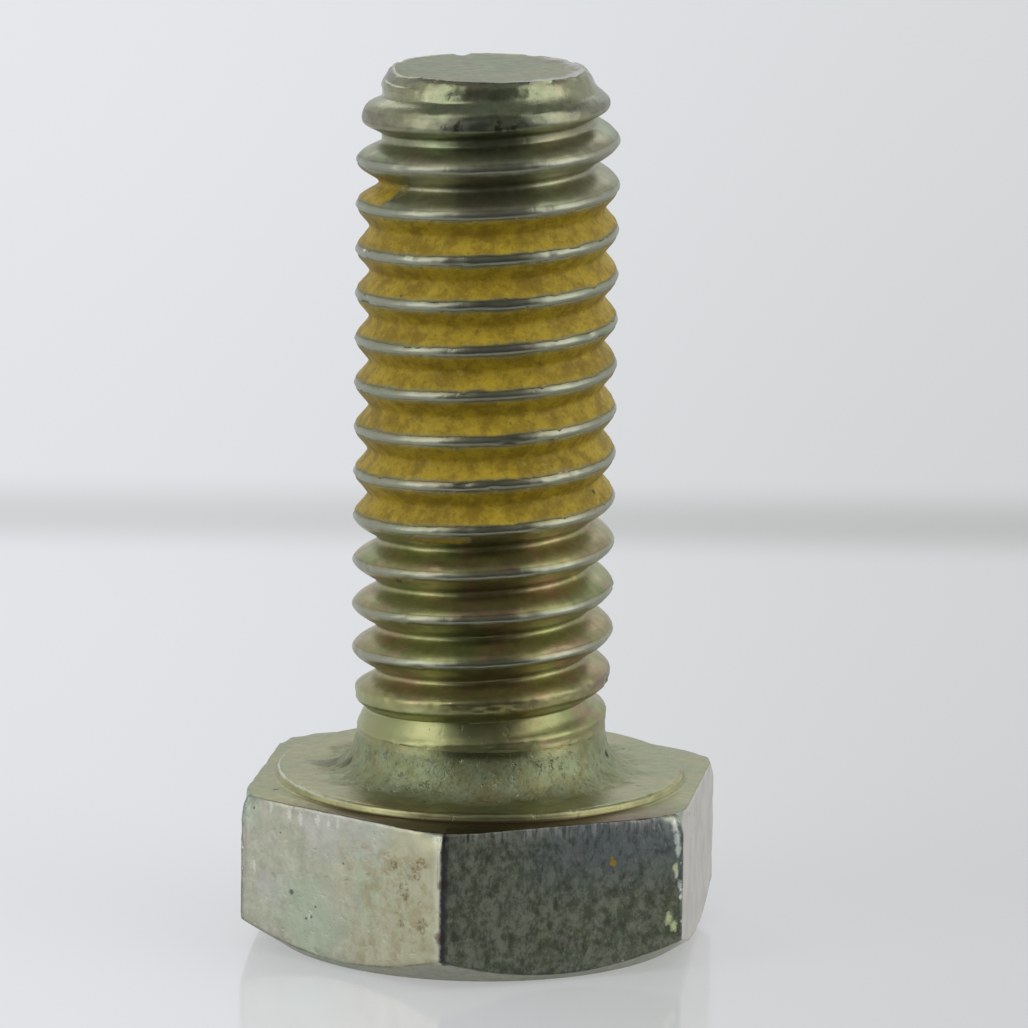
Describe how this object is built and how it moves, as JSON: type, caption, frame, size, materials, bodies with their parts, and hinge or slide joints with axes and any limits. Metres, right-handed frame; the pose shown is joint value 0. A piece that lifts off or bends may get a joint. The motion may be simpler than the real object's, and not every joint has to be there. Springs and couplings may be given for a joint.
{
  "type": "hex head screw",
  "caption": "Metric hex head screw, threaded to the neck, with a washer face, a chamfered point and a dried yellow locking patch on the middle of its thread.",
  "frame": {"origin": "centre of the head's flat end face, on the screw's axis", "axes": "+Z along the axis from the head's flat end to the threaded point; +Y through a corner of the hexagon, so the two flats beside it face +X and -X"},
  "size_m": [0.0098, 0.0114, 0.0195],
  "materials": {
    "plated_steel": "yellow-passivated zinc plate, worn silver on the thread crests, speckled and scuffed on the head",
    "locking_resin": "dried granular mustard yellow resin film"
  },
  "bodies": {
    "root": {"screw": "plated_steel", "locking_patch": "locking_resin"}
  },
  "joints": []
}
